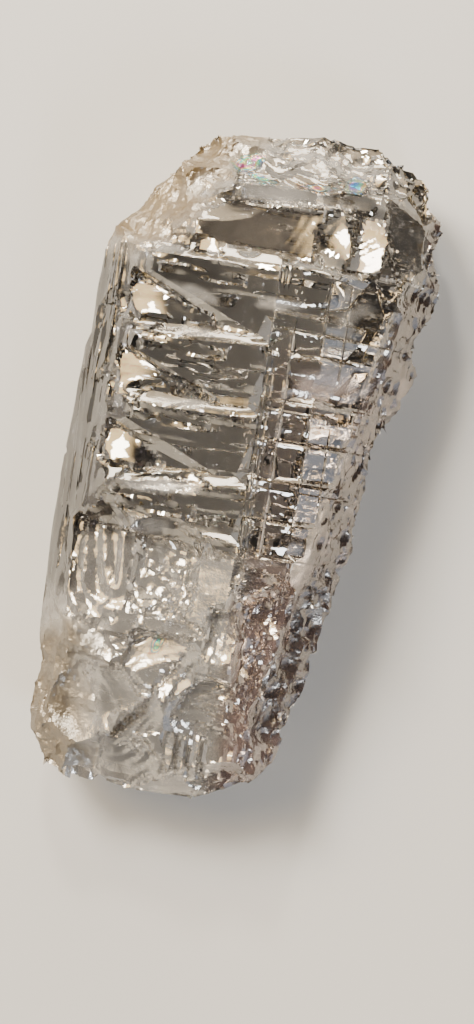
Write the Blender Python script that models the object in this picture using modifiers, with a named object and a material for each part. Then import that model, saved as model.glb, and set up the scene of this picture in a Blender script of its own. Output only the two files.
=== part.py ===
"""A clear, pale champagne silicon carbide crystal, broken at both ends.

It lies on its broad back face. X runs across it, Y along its growth axis and Z up
towards the viewer. The crystal grew as one piece, so it is one solid: a tapered prism
whose front is built of stacked growth plates, with shell-shaped breaks at both ends and
small chips along its rim.

Lengths below are in millimetres. The finished mesh is turned into metres at the end.
"""

import math
import random

import bmesh
import bpy
from mathutils import Matrix, Quaternion, Vector

NAME = "crystal"
METRES_PER_MM = 0.001
MERGE = 0.0001
SLIVER = 0.0005
SHARP_ANGLE = math.radians(18.0)

# The prism: its thickness, and where its long edges run across a section at mid length.
THICKNESS = 13.6
BACK_LEFT = Vector((-6.4, 0.0, 0.0))
BACK_RIGHT = Vector((1.8, 0.0, 0.0))
BACK_KNEE = Vector((5.6, 0.0, 1.3))
LEFT_RIM = Vector((-11.9, 0.0, 4.6))
FRONT_LEFT_EDGE = Vector((-9.2, 0.0, 10.0))
CREST = Vector((0.7, 0.0, 12.1))
CREST_RIGHT = Vector((2.4, 0.0, 12.1))
KNEE = Vector((4.4, 0.0, 11.6))
RIGHT_EDGE = Vector((6.7, 0.0, 10.2))
RIGHT_RIM = Vector((9.6, 0.0, 5.6))

# The front sinks by FRONT_FALL for each millimetre towards the narrow end. The right side
# closes in by SIDE_TAPER and the left side opens out by LEFT_FLARE.
FRONT_FALL = 0.035
SIDE_TAPER = 0.2
LEFT_FLARE = -0.04
BACK_TAPER = 0.08

# The growth plates stand this much above the prism's front. Each one falls towards the
# narrow end, so its upper edge is a ledge.
PLATE_HEIGHT = 0.85
PLATE_PITCH = 8.5
LEFT_LEDGE_SLOPE = 52.0
RIGHT_LEDGE_SLOPE = 47.0
FIN_YAW = 4.0
SHOULDER_PITCH_SHARE = 0.8
SHOULDER_INSET = 0.1

# The box that every plate is cut from: its foot and top, and a distance past either side.
PLATE_ROOT_Z = 7.3
PLATE_TOP_Z = 15.0
PAST_SIDE = 14.0

# A narrow bevel runs down the front-left edge. On each left plate a three-cornered face
# starts beside it under the ledge.
BEVEL_X = -8.3
BEVEL_SLOPE = 46.0
CORNER_TILT = 25.0
CORNER_START = (-8.3, -0.9)
CORNER_END = (-2.2, -3.5)

# Plates of the left growth face, from the wide end: ledge, lower edge, and how much the
# ledge climbs for each millimetre across.
LEFT_PLATES = [
    (12.2, 6.9, -0.02), (6.9, 2.1, 0.06), (2.3, -3.0, 0.03), (-2.6, -5.2, 0.08), (-5.6, -8.4, -0.05),
]

# Plates of the right growth face: ledge, lower edge, pitch in degrees, lift, and climb.
RIGHT_PLATES = [
    (12.4, 9.6, 6.0, 0.00, 0.02), (9.3, 8.6, 2.0, 0.10, -0.03), (8.3, 6.9, 10.0, 0.00, 0.05),
    (6.8, 3.9, 9.0, 0.05, 0.02), (3.7, 3.2, 4.0, 0.16, 0.00), (3.0, 1.2, 11.0, 0.00, 0.01),
    (1.0, -1.4, 9.5, 0.05, 0.00), (-1.5, -1.9, 3.0, 0.16, 0.01), (-2.1, -4.1, 11.0, 0.00, -0.01),
    (-4.2, -6.4, 10.0, 0.05, 0.02), (-6.5, -6.9, 3.0, 0.14, 0.03), (-7.1, -9.6, 12.0, -0.05, 0.06),
]

# Shallow grooves cross the right half of the back at the main ledges.
GROOVE_YS = (14.0, 11.2, 8.4, 6.2, 3.4, 1.1, -1.6, -4.2, -6.6, -9.4, -12.6)
GROOVE_DEPTH = 0.32

# The narrow face down the middle of the front starts here and is broken off below.
CREST_TOP_Y, CREST_FOOT_Y = 8.4, -9.6
CREST_MIDDLE_X = 1.1
CREST_LIFT = 0.2
CREST_PITCH_SLOPE = 86.0
CREST_LEFT_SLOPE, CREST_RIGHT_SLOPE, CREST_FOOT_SLOPE = 50.0, 46.0, 40.0

# The wide end's break starts here, this far under the growth face, and turns steeper at
# the step. Both faces are given as the azimuth and elevation that they look towards.
TOP_BREAK_Y, TOP_BREAK_SINK, TOP_STEP_Y = 12.9, 0.5, 17.2
TOP_BREAK_FACING = (92.0, 67.0)
TOP_STEP_FACING = (88.0, 50.0)

# Flat breaks at both ends: a point on each, and the azimuth and elevation it looks towards.
END_BREAKS = [
    # The wide end.
    ((-8.6, 16.4, 7.4), 141.0, 44.0),
    ((-8.9, 17.0, 5.4), 143.0, 18.0),
    ((7.5, 15.6, 9.9), 11.0, 61.0),
    ((8.6, 19.6, 6.6), 48.0, 44.0),
    ((0.0, 21.6, 4.8), 90.0, -38.0),
    ((-9.0, 17.0, 3.6), 142.0, -34.0),
    # The narrow end.
    ((-2.6, -13.2, 10.1), 252.0, 73.0),
    ((0.6, -15.2, 10.6), 282.0, 68.0),
    ((-7.6, -14.5, 8.8), 215.0, 62.0),
    ((0.0, -20.5, 8.3), -88.0, 42.0),
    ((-10.6, -17.0, 6.8), 196.0, 44.0),
    ((0.0, -23.0, 4.6), -94.0, -30.0),
]

# The shell-shaped breaks are bowls. Each has its deepest point x and y and its depth there,
# the azimuth and elevation it opens towards, its radius, its stretch across and along, its
# number of ribs and their height.
SHELL_BREAKS = [
    # The wide end.
    (-2.2, 15.1, 1.00, 95.0, 68.0, 9.0, (1.20, 0.55), 6, 0.06),
    (5.3, 15.1, 1.00, 62.0, 64.0, 7.0, (0.80, 0.85), 5, 0.05),
    (-0.4, 18.4, 0.75, 88.0, 54.0, 8.0, (1.45, 0.45), 4, 0.05),
    (-7.4, 15.2, 0.90, 138.0, 52.0, 8.0, (0.75, 0.85), 4, 0.06),
    (-5.0, 18.9, 1.00, 118.0, 48.0, 8.0, (0.80, 0.62), 4, 0.06),
    (-0.6, 21.0, 0.90, 92.0, 44.0, 7.0, (1.10, 0.60), 4, 0.05),
    (4.2, 19.7, 1.00, 76.0, 50.0, 8.0, (0.80, 0.60), 4, 0.05),
    (8.2, 19.2, 0.70, 45.0, 48.0, 6.0, (0.70, 0.80), 3, 0.05),
    (10.2, 13.6, 0.60, 335.0, 50.0, 4.5, (0.70, 0.90), 3, 0.04),
    # The left of the narrow end.
    (-7.9, -8.7, 1.20, 195.0, 76.0, 7.5, (0.62, 1.10), 7, 0.11),
    (-3.7, -8.9, 1.10, 160.0, 78.0, 7.0, (0.80, 0.85), 5, 0.07),
    (-3.4, -13.9, 1.00, 245.0, 74.0, 9.0, (0.95, 0.62), 6, 0.05),
    (0.2, -17.0, 1.10, 275.0, 66.0, 9.0, (0.70, 0.85), 6, 0.06),
    (-7.2, -17.0, 1.00, 215.0, 64.0, 9.0, (0.80, 0.85), 5, 0.06),
    (-10.6, -14.6, 0.70, 190.0, 48.0, 9.0, (0.50, 1.40), 4, 0.06),
    (-4.8, -20.3, 0.90, 258.0, 52.0, 8.0, (0.90, 0.62), 5, 0.07),
    (1.2, -20.9, 0.80, 285.0, 52.0, 7.0, (0.80, 0.62), 4, 0.06),
    # The right of the narrow end.
    (3.2, -9.8, 0.90, 310.0, 72.0, 6.0, (0.80, 0.62), 5, 0.06),
    (2.8, -13.6, 0.90, 340.0, 70.0, 5.0, (0.50, 1.45), 4, 0.05),
    (5.2, -12.4, 0.80, 352.0, 56.0, 5.0, (0.45, 1.35), 3, 0.05),
    (4.6, -17.2, 0.90, 335.0, 58.0, 5.0, (0.55, 1.20), 4, 0.06),
]

# The half angle that a bowl is turned through, the steps round it, its mouth in radii, the
# fewest steps from its middle to its edge, and where its first rib starts.
BOWL_REACH = math.radians(42.0)
BOWL_STEPS = 18
BOWL_MOUTH = 1.75
BOWL_LEAST_STEPS = 5
RIB_START = 0.7

# The small chips along the outline: their sizes, also on the smooth left side, their heights,
# and the shares of each outline edge where they sit.
CHIP_SEED = 11
CHIP_SIZES = (0.5, 1.05)
SMOOTH_SIDE_CHIP_SIZES = (0.25, 0.45)
SMOOTH_SIDE_X, SMOOTH_SIDE_FOOT_Y = -10.8, -12.0
CHIP_HEIGHTS = (3.2, 7.0)
CHIP_SHARES = (0.2, 0.7)

# The crystal's outline seen from the front, from the narrow end's left corner round by
# the left side, the wide end and the right side.
OUTLINE = [
    (-9.9, -22.7), (-10.9, -21.0), (-11.5, -18.8), (-11.8, -16.2), (-12.0, -13.5),
    (-11.8, -10.0), (-11.8, -5.0), (-11.5, 0.0), (-11.4, 5.6), (-11.1, 6.6),
    (-11.1, 9.8), (-11.0, 12.6), (-10.4, 14.2), (-9.6, 15.6), (-8.7, 17.0),
    (-7.9, 18.0), (-7.3, 18.9), (-6.2, 20.1), (-4.7, 21.2), (-2.8, 21.3),
    (0.0, 21.6), (1.6, 21.8), (3.2, 22.2), (5.0, 22.1), (6.6, 21.7), (7.5, 21.0),
    (8.8, 20.8), (9.7, 19.7), (9.9, 18.0), (10.9, 17.4), (11.1, 16.6), (10.7, 15.5),
    (11.0, 14.6), (12.3, 12.9), (12.2, 12.1), (11.2, 11.0), (10.8, 9.8), (10.5, 8.9),
    (10.4, 8.1), (10.9, 7.8), (11.0, 6.9), (10.7, 5.7), (10.1, 5.4), (10.1, 4.2),
    (9.5, 2.8), (8.8, 1.2), (8.6, 0.1), (8.7, -1.4), (8.8, -2.9), (8.5, -4.9),
    (8.3, -7.4), (7.7, -9.0), (7.3, -10.1), (7.1, -11.6), (6.9, -13.4), (6.6, -15.4),
    (6.0, -17.0), (5.9, -18.4), (5.3, -20.0), (4.2, -21.3), (2.4, -22.3), (0.2, -23.3),
    (-2.6, -23.6), (-5.4, -23.8), (-8.2, -23.5),
]


def facing(azimuth, elevation):
    """A unit normal: azimuth turns from +X towards +Y, elevation is above level."""
    a, e = math.radians(azimuth), math.radians(elevation)
    return Vector((math.cos(a) * math.cos(e), math.sin(a) * math.cos(e), math.sin(e)))


def long_normal(lower, upper, slide):
    """The outward normal of a long face through two section points. Its points move
    across by slide, and up by FRONT_FALL where both lie on the front, for each
    millimetre towards the wide end."""
    rise = FRONT_FALL if min(lower.z, upper.z) > PLATE_ROOT_Z else 0.0
    normal = Vector((slide, 1.0, rise)).cross(upper - lower).normalized()
    outward = Vector((lower.x + upper.x, 0.0, lower.z + upper.z - THICKNESS))
    return normal if normal.dot(outward) > 0 else -normal


LEFT_SIDE = long_normal(LEFT_RIM, FRONT_LEFT_EDGE, LEFT_FLARE)
RIGHT_SIDE = long_normal(RIGHT_RIM, RIGHT_EDGE, SIDE_TAPER)
LEFT_GROWTH = long_normal(FRONT_LEFT_EDGE, CREST, 0.0)
RIGHT_WINDOW = long_normal(CREST_RIGHT, KNEE, 0.0)
RIGHT_SHOULDER = long_normal(KNEE, RIGHT_EDGE, SIDE_TAPER)


def on_plane(point, normal, x, y):
    """The point of a plane at x and y."""
    fall = normal.x * (x - point.x) + normal.y * (y - point.y)
    return Vector((x, y, point.z - fall / normal.z))


def link(name, bm, collection):
    """A new mesh object from a bmesh."""
    mesh = bpy.data.meshes.new(name)
    bm.normal_update()
    bm.to_mesh(mesh)
    bm.free()
    obj = bpy.data.objects.new(name, mesh)
    collection.objects.link(obj)
    return obj


def shave(bm, point, normal):
    """Cuts away what lies beyond a plane and closes the cut with a flat face."""
    geometry = bm.verts[:] + bm.edges[:] + bm.faces[:]
    cut = bmesh.ops.bisect_plane(
        bm, geom=geometry, plane_co=point, plane_no=normal, clear_outer=True, dist=MERGE
    )["geom_cut"]
    edges = [e for e in cut if isinstance(e, bmesh.types.BMEdge)]
    bmesh.ops.holes_fill(bm, edges=edges, sides=0)


def outline_block(collection):
    """The crystal's outline as a block of its full thickness."""
    curve = bpy.data.curves.new("outline", "CURVE")
    curve.dimensions = "2D"
    curve.fill_mode = "BOTH"
    curve.extrude = THICKNESS / 2
    spline = curve.splines.new("POLY")
    spline.points.add(len(OUTLINE) - 1)
    for point, (x, y) in zip(spline.points, OUTLINE):
        point.co = (x, y, 0.0, 1.0)
    spline.use_cyclic_u = True
    guide = bpy.data.objects.new("outline", curve)
    collection.objects.link(guide)
    guide.location.z = THICKNESS / 2
    bpy.context.view_layer.update()
    evaluated = guide.evaluated_get(bpy.context.evaluated_depsgraph_get())
    bm = bmesh.new()
    bm.from_mesh(bpy.data.meshes.new_from_object(evaluated))
    bm.transform(guide.matrix_world)
    bmesh.ops.remove_doubles(bm, verts=bm.verts, dist=MERGE)
    bmesh.ops.recalc_face_normals(bm, faces=bm.faces)
    bpy.data.objects.remove(guide)
    return bm


def core_faces():
    """The planes that bound the prism, each a point and an outward normal."""
    sunk = Vector((0.0, 0.0, -PLATE_HEIGHT))
    top_edge = on_plane(CREST, LEFT_GROWTH, 0.0, TOP_BREAK_Y) - Vector((0.0, 0.0, TOP_BREAK_SINK))
    top_step = on_plane(top_edge, facing(*TOP_BREAK_FACING), 0.0, TOP_STEP_Y)
    faces = [
        (FRONT_LEFT_EDGE + sunk, LEFT_GROWTH),
        (KNEE + sunk, RIGHT_WINDOW),
        (KNEE + sunk, RIGHT_SHOULDER),
        (LEFT_RIM, LEFT_SIDE),
        (RIGHT_RIM, RIGHT_SIDE),
        (on_plane(CREST, LEFT_GROWTH, BEVEL_X, 0.0) + sunk, facing(180.0, BEVEL_SLOPE)),
        (BACK_LEFT, long_normal(BACK_LEFT, LEFT_RIM, 0.0)),
        (BACK_RIGHT, long_normal(BACK_RIGHT, BACK_KNEE, BACK_TAPER)),
        (BACK_KNEE, long_normal(BACK_KNEE, RIGHT_RIM, SIDE_TAPER)),
        (top_edge, facing(*TOP_BREAK_FACING)),
        (top_step, facing(*TOP_STEP_FACING)),
    ]
    return faces + [(Vector(point), facing(azimuth, elevation)) for point, azimuth, elevation in END_BREAKS]


def surface_point(x, y, depth):
    """A point that lies depth under the prism's front at x and y."""
    height = min(on_plane(point, normal, x, y).z for point, normal in core_faces() if normal.z > 0.0)
    return Vector((x, y, height - depth))


def core(collection):
    """The prism that carries the plates: the outline block with its faces cut."""
    bm = outline_block(collection)
    for point, normal in core_faces():
        shave(bm, point, normal)
    return link("core", bm, collection)


def plate_blank(low, high):
    """A box between two corners, from which a growth plate is cut."""
    bm = bmesh.new()
    size = Vector(high) - Vector(low)
    centre = (Vector(high) + Vector(low)) / 2
    bmesh.ops.create_cube(bm, size=1.0, matrix=Matrix.Translation(centre) @ Matrix.Diagonal((*size, 1.0)))
    return bm


def pitched(normal, degrees):
    """A normal leaned towards the narrow end."""
    return Quaternion((1.0, 0.0, 0.0), math.radians(degrees)) @ normal


def ledge_normal(face, climb, slope):
    """The normal of a ledge that crosses a face. It looks towards the wide end."""
    line = Vector((1.0, climb, -(face.x + face.y * climb) / face.z)).normalized()
    level = Vector((0.0, 0.0, 1.0)).cross(line).normalized()
    return math.cos(math.radians(slope)) * level + math.sin(math.radians(slope)) * line.cross(level)


def left_plate(number, top, bottom, climb, collection):
    """A plate of the left growth face. Its outer lower corner is a three-cornered face,
    and its left end stands out as a fin under the ledge."""
    bm = plate_blank((-PAST_SIDE, bottom - 1.0, PLATE_ROOT_Z), (CREST.x + 0.4, top + 1.6, PLATE_TOP_Z))
    face = pitched(LEFT_GROWTH, PLATE_PITCH)
    ledge = on_plane(CREST, LEFT_GROWTH, -4.0, top)
    shave(bm, ledge, face)
    shave(bm, ledge, ledge_normal(face, climb, LEFT_LEDGE_SLOPE))
    start = on_plane(ledge, face, CORNER_START[0], top + CORNER_START[1])
    end = on_plane(ledge, face, CORNER_END[0], top + CORNER_END[1])
    shave(bm, start, Quaternion((end - start).normalized(), math.radians(CORNER_TILT)) @ face)
    shave(bm, on_plane(CREST, LEFT_GROWTH, BEVEL_X, 0.0), facing(180.0, BEVEL_SLOPE))
    fin = Quaternion((0.0, 0.0, 1.0), math.radians(-FIN_YAW)) @ LEFT_SIDE
    shave(bm, on_plane(FRONT_LEFT_EDGE, LEFT_SIDE, FRONT_LEFT_EDGE.x, bottom), fin)
    return link(f"left_plate_{number}", bm, collection)


def right_plate(number, top, bottom, pitch, lift, climb, collection):
    """A plate of the right growth face: a flat window and a steeper shoulder beside it."""
    bm = plate_blank((CREST.x, bottom - 0.5, PLATE_ROOT_Z), (PAST_SIDE, top + 0.9, PLATE_TOP_Z))
    ledge = on_plane(KNEE, RIGHT_WINDOW, KNEE.x, top) + Vector((0.0, 0.0, lift))
    window = pitched(RIGHT_WINDOW, pitch)
    shoulder = pitched(RIGHT_SHOULDER, pitch * SHOULDER_PITCH_SHARE)
    shave(bm, ledge, window)
    shave(bm, ledge, shoulder)
    shave(bm, ledge, ledge_normal(window, climb, RIGHT_LEDGE_SLOPE))
    shave(bm, ledge, ledge_normal(shoulder, climb, RIGHT_LEDGE_SLOPE))
    shave(bm, RIGHT_EDGE - SHOULDER_INSET * RIGHT_SIDE, RIGHT_SIDE)
    return link(f"right_plate_{number}", bm, collection)


def crest_plates(collection):
    """The narrow face down the middle of the front, stepped at the right plates' ledges."""
    ledges = [plate[0] for plate in RIGHT_PLATES if plate[0] < CREST_TOP_Y]
    for number, (top, bottom) in enumerate(zip([CREST_TOP_Y] + ledges, ledges + [CREST_FOOT_Y])):
        low = (CREST.x - 0.8, bottom - 0.4, PLATE_ROOT_Z)
        high = (CREST_RIGHT.x + 0.8, top + 0.8, PLATE_TOP_Z)
        bm = plate_blank(low, high)
        ledge = Vector((CREST_MIDDLE_X, top, CREST.z + CREST_LIFT + FRONT_FALL * top))
        foot = Vector((CREST_MIDDLE_X, CREST_FOOT_Y, CREST.z - PLATE_HEIGHT))
        shave(bm, ledge, facing(-90.0, CREST_PITCH_SLOPE))
        shave(bm, ledge, facing(180.0, CREST_LEFT_SLOPE))
        shave(bm, ledge + Vector((1.0, 0.0, 0.0)), facing(0.0, CREST_RIGHT_SLOPE))
        shave(bm, ledge, facing(90.0, RIGHT_LEDGE_SLOPE))
        shave(bm, foot, facing(-90.0, CREST_FOOT_SLOPE))
        link(f"crest_plate_{number}", bm, collection)


def shell_break(name, deepest, axis, radius, stretch, ribs, rib_height, collection):
    """A cutter for one shell-shaped break: a turned bowl, its bottom ribbed, that opens
    along the axis."""
    bm = bmesh.new()
    profile = [Vector((0.0, 0.0, BOWL_MOUTH * radius)), Vector((radius, 0.0, BOWL_MOUTH * radius))]
    steps = max(BOWL_LEAST_STEPS, 2 * ribs)
    for i in range(steps, -1, -1):
        share = i / steps
        angle = BOWL_REACH * share
        size = radius + rib_height * share * math.sin(2 * math.pi * ribs * share + RIB_START)
        profile.append(Vector((size * math.sin(angle), 0.0, radius - size * math.cos(angle))))
    verts = [bm.verts.new(point) for point in profile]
    for above, below in zip(verts, verts[1:]):
        bm.edges.new((above, below))
    obj = link(name, bm, collection)
    screw = obj.modifiers.new("turn", "SCREW")
    screw.axis = "Z"
    screw.steps = BOWL_STEPS
    screw.render_steps = BOWL_STEPS
    screw.use_merge_vertices = True
    screw.merge_threshold = MERGE
    bpy.context.view_layer.update()
    turned = bpy.data.meshes.new_from_object(obj.evaluated_get(bpy.context.evaluated_depsgraph_get()))
    obj.modifiers.clear()
    obj.data = turned
    turn = Vector((0.0, 0.0, 1.0)).rotation_difference(axis).to_matrix().to_4x4()
    widen = Matrix.Diagonal((*stretch, 1.0, 1.0))
    turned.transform(Matrix.Translation(deepest) @ widen @ turn)


def cut_shell_breaks(collection):
    for number, (x, y, depth, azimuth, elevation, *bowl) in enumerate(SHELL_BREAKS):
        deepest = surface_point(x, y, depth)
        shell_break(f"shell_break_{number}", deepest, facing(azimuth, elevation), *bowl, collection)


def groove(name, start, end, collection):
    """A cutter for a V groove: a square bar whose edge runs from start to end."""
    bm = bmesh.new()
    along = end - start
    bar = Matrix.Diagonal((along.length, 2 * GROOVE_DEPTH, 2 * GROOVE_DEPTH, 1.0))
    tip = Matrix.Rotation(math.radians(45.0), 4, "X")
    turn = along.to_track_quat("X", "Z").to_matrix().to_4x4()
    bmesh.ops.create_cube(bm, size=1.0, matrix=Matrix.Translation((start + end) / 2) @ turn @ tip @ bar)
    link(name, bm, collection)


def cut_back_grooves(collection):
    """The ledges' counterparts on the right half of the back."""
    sunk = Vector((0.0, 0.0, -GROOVE_DEPTH * (math.sqrt(2.0) - 1.0)))
    for number, y in enumerate(GROOVE_YS):
        inner = Vector((BACK_RIGHT.x + BACK_TAPER * y + 0.3, y, 0.0)) + sunk
        knee = BACK_KNEE + Vector((SIDE_TAPER * y, y, 0.0)) + sunk
        rim = RIGHT_RIM + Vector((SIDE_TAPER * y, y, 0.0)) + sunk
        groove(f"inner_groove_{number}", inner, knee, collection)
        groove(f"outer_groove_{number}", knee, rim + (rim - knee) * 0.1, collection)


def cut_chips(collection):
    """Small flat-sided chips all round the rim, smaller along the left side face."""
    rng = random.Random(CHIP_SEED)
    count = len(OUTLINE)
    number = 0
    for i, (x, y) in enumerate(OUTLINE):
        nx, ny = OUTLINE[(i + 1) % count]
        side = Vector((nx - x, ny - y, 0.0))
        outward = Vector((-side.y, side.x, 0.0)).normalized()
        smooth_side = x < SMOOTH_SIDE_X and y > SMOOTH_SIDE_FOOT_Y
        for share in CHIP_SHARES:
            size = rng.uniform(*(SMOOTH_SIDE_CHIP_SIZES if smooth_side else CHIP_SIZES))
            z = rng.uniform(*CHIP_HEIGHTS)
            centre = Vector((x, y, z)) + side * share + outward * size * rng.uniform(0.3, 0.75)
            bm = bmesh.new()
            axis = [rng.uniform(-1, 1) for _ in range(3)]
            spin = Quaternion(axis, rng.uniform(0.0, math.pi)).to_matrix().to_4x4()
            shape = Matrix.Diagonal((size, size * rng.uniform(0.8, 1.6), size * rng.uniform(1.0, 2.2), 1.0))
            place = Matrix.Translation(centre) @ shape @ spin
            bmesh.ops.create_icosphere(bm, subdivisions=1, radius=1.0, matrix=place)
            link(f"chip_{number}", bm, collection)
            number += 1


def combine(target, cutters, operation):
    """Joins or cuts a whole collection into the target and keeps the result as its mesh."""
    boolean = target.modifiers.new(operation.lower(), "BOOLEAN")
    boolean.operand_type = "COLLECTION"
    boolean.collection = cutters
    boolean.operation = operation
    bpy.context.view_layer.update()
    mesh = bpy.data.meshes.new_from_object(target.evaluated_get(bpy.context.evaluated_depsgraph_get()))
    target.modifiers.clear()
    target.data = mesh
    for guide in list(cutters.objects):
        bpy.data.objects.remove(guide)
    bpy.data.collections.remove(cutters)


def new_collection(name):
    collection = bpy.data.collections.new(name)
    bpy.context.scene.collection.children.link(collection)
    return collection


def crystal_material():
    """Clear, faintly champagne crystal."""
    material = bpy.data.materials.new("clear_crystal")
    material.use_nodes = True
    shader = material.node_tree.nodes["Principled BSDF"]
    shader.inputs["Base Color"].default_value = (0.80, 0.76, 0.69, 1.0)
    shader.inputs["Roughness"].default_value = 0.08
    shader.inputs["Metallic"].default_value = 0.0
    shader.inputs["Transmission Weight"].default_value = 0.9
    return material


def finish(obj):
    """Cleans the mesh, rests it on its back face with its middle over the origin, and
    turns millimetres into metres."""
    bm = bmesh.new()
    bm.from_mesh(obj.data)
    bmesh.ops.remove_doubles(bm, verts=bm.verts, dist=SLIVER)
    bmesh.ops.dissolve_degenerate(bm, edges=bm.edges, dist=SLIVER)
    bmesh.ops.triangulate(bm, faces=bm.faces)
    low = Vector(min(v.co[k] for v in bm.verts) for k in range(3))
    high = Vector(max(v.co[k] for v in bm.verts) for k in range(3))
    middle = (low + high) / 2
    bm.transform(Matrix.Translation((-middle.x, -middle.y, -low.z)))
    bm.transform(Matrix.Scale(METRES_PER_MM, 4))
    bm.to_mesh(obj.data)
    bm.free()
    obj.data.shade_smooth()
    obj.data.set_sharp_from_angle(angle=SHARP_ANGLE)
    obj.data.materials.clear()
    obj.data.materials.append(crystal_material())
    print(f"{len(obj.data.polygons)} triangles, its middle was at {middle.x:.3f}, {middle.y:.3f} mm")


def main():
    for obj in list(bpy.data.objects):
        bpy.data.objects.remove(obj)
    home = new_collection("silicon_carbide_crystal")
    body = core(home)

    plates = new_collection("plates")
    for number, plate in enumerate(LEFT_PLATES):
        left_plate(number, *plate, plates)
    for number, plate in enumerate(RIGHT_PLATES):
        right_plate(number, *plate, plates)
    crest_plates(plates)
    combine(body, plates, "UNION")

    for cut in (cut_back_grooves, cut_shell_breaks, cut_chips):
        cutters = new_collection(cut.__name__)
        cut(cutters)
        combine(body, cutters, "DIFFERENCE")

    body.name = NAME
    finish(body)


main()
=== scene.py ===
"""A clear silicon carbide crystal that lies on a pale floor, seen from straight above.

Lengths are in millimetres in the crystal's own frame unless a name says otherwise: X runs
across it, Y along it towards the wide end, and Z up out of its stepped front.
"""

import itertools
import math

import bmesh
import bpy
import numpy as np
from mathutils import Matrix, Vector
from mathutils.bvhtree import BVHTree


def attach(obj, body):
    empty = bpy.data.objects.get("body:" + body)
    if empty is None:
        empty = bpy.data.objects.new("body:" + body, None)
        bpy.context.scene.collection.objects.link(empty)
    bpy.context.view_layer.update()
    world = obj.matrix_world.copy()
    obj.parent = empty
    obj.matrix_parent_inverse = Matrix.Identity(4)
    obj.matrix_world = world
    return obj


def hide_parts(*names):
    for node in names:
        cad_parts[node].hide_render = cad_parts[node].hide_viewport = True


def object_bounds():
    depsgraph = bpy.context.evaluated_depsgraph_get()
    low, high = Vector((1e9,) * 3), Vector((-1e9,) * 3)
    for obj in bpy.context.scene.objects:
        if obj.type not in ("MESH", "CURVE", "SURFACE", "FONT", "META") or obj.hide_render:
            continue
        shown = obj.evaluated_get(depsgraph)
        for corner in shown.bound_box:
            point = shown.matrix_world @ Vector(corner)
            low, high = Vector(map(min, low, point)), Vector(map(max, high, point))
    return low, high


MM = 0.001
NODE = "crystal"
BODY = "root"
SEED = 7

# The photograph's frame, its scale, and the pixel where the crystal's own zero lies.
IMAGE_SIZE = (474, 1024)
PIXELS_PER_MM = 15.0
ZERO_PIXEL = (240, 455)
LEAN = math.radians(9.0)
VIEW_DISTANCE = 230.0
FOCUS_HEIGHT = 6.5
NEAREST_SEEN = 10.0
# The sensor's height in millimetres, as the camera wants it.
SENSOR = 24.0

# The node's middle lies at the frame's zero, and the crystal's own zero lies here.
ZERO = np.array((-0.16, 0.58, 0.0))

FLOOR_GAP = 0.05
FLOOR_SIZE = 1200.0
FLOOR_COLOUR = (0.70, 0.71, 0.72, 1.0)
FLOOR_ROUGHNESS = 0.8

# The fine mesh: the depth of its grid, the share of the grid that the part fills, and the angle
# from which an edge stays sharp. Points further than STRAY from the solid are put back on it.
GRID_DEPTH = 8
GRID_FILL = 0.93
SHARP_ANGLE = math.radians(16.0)
STRAY = 0.12
# No face that is cut into the front rises further than this above it.
RISE = 0.3

# Growth lines that run the length of the crystal: place across it and half width. Each rises
# over LINE_LEAD half widths and falls over one. The span holds them all.
LINES = ((-10.9, 0.08), (-10.35, 0.06), (-10.0, 0.05), (-9.65, 0.07), (1.05, 0.12), (1.4, 0.08),
         (2.2, 0.13), (4.15, 0.08), (5.6, 0.07))
LINE_SPAN = (-12.0, 12.0)
LINE_LEAD = 1.0

# Thin ledges across the right of the front, and the bright line of the wide end: place along the
# crystal and half width.
RUNGS = ((8.3, 0.10), (7.0, 0.09), (3.8, 0.10), (3.1, 0.07), (1.15, 0.11), (-1.5, 0.10), (-2.0, 0.06),
         (-4.05, 0.11), (-6.5, 0.10), (16.68, 0.2))
RUNG_SPAN = (-12.0, 18.0)
RUNG_LEAD = 4.0

# Healed cracks that come to the surface: place, length and width, turn in degrees, how milky
# they are, and how strongly they show the colours of a thin film.
CRACKS = (
    ((-2.5, 19.2), (1.9, 1.1), 25.0, 0.45, 1.0),
    ((-1.5, 18.3), (2.2, 0.5), -12.0, 0.45, 1.0),
    ((4.7, 18.8), (1.7, 1.2), 50.0, 0.45, 1.0),
    ((2.4, 18.2), (2.6, 0.7), 0.0, 0.2, 0.5),
    ((-3.5, -13.4), (1.5, 0.8), 60.0, 0.45, 1.0),
    ((5.2, 5.3), (6.0, 2.1), 8.0, 0.45, 0.0),
    ((1.2, 10.0), (3.2, 0.9), 5.0, 0.5, 0.0),
    ((-4.8, 10.0), (4.4, 1.0), -14.0, 0.35, 0.0),
    ((-5.0, -2.9), (5.6, 1.0), 6.0, 0.5, 0.0),
    ((-4.4, 7.4), (5.0, 0.7), 4.0, 0.45, 0.0),
    ((-4.6, 2.7), (4.8, 0.7), 4.0, 0.45, 0.0),
    ((0.6, -12.4), (1.6, 4.6), 0.0, 0.35, 0.0),
    ((5.9, 10.0), (2.6, 1.2), 35.0, 0.22, 0.0),
    ((0.2, 17.3), (8.0, 1.5), 0.0, 0.32, 0.0),
    ((-1.8, 14.7), (8.6, 3.4), 0.0, 0.10, 0.0),
    ((8.7, 15.6), (6.4, 3.0), -62.0, 0.05, 0.0),
    ((-5.6, -5.6), (4.0, 1.2), 5.0, 0.3, 0.0),
    ((2.0, 20.2), (11.0, 2.6), -8.0, 0.28, 0.0),
)
FILM_STOPS = (
    (0.10, (0.10, 0.30, 0.98)), (0.30, (0.08, 0.80, 0.85)), (0.50, (0.20, 0.92, 0.35)),
    (0.68, (1.0, 0.85, 0.25)), (0.88, (1.0, 0.22, 0.60)),
)
FILM_NANOMETRES = (150.0, 900.0)
FILM_SPREAD = (0.36, 0.64)

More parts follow.
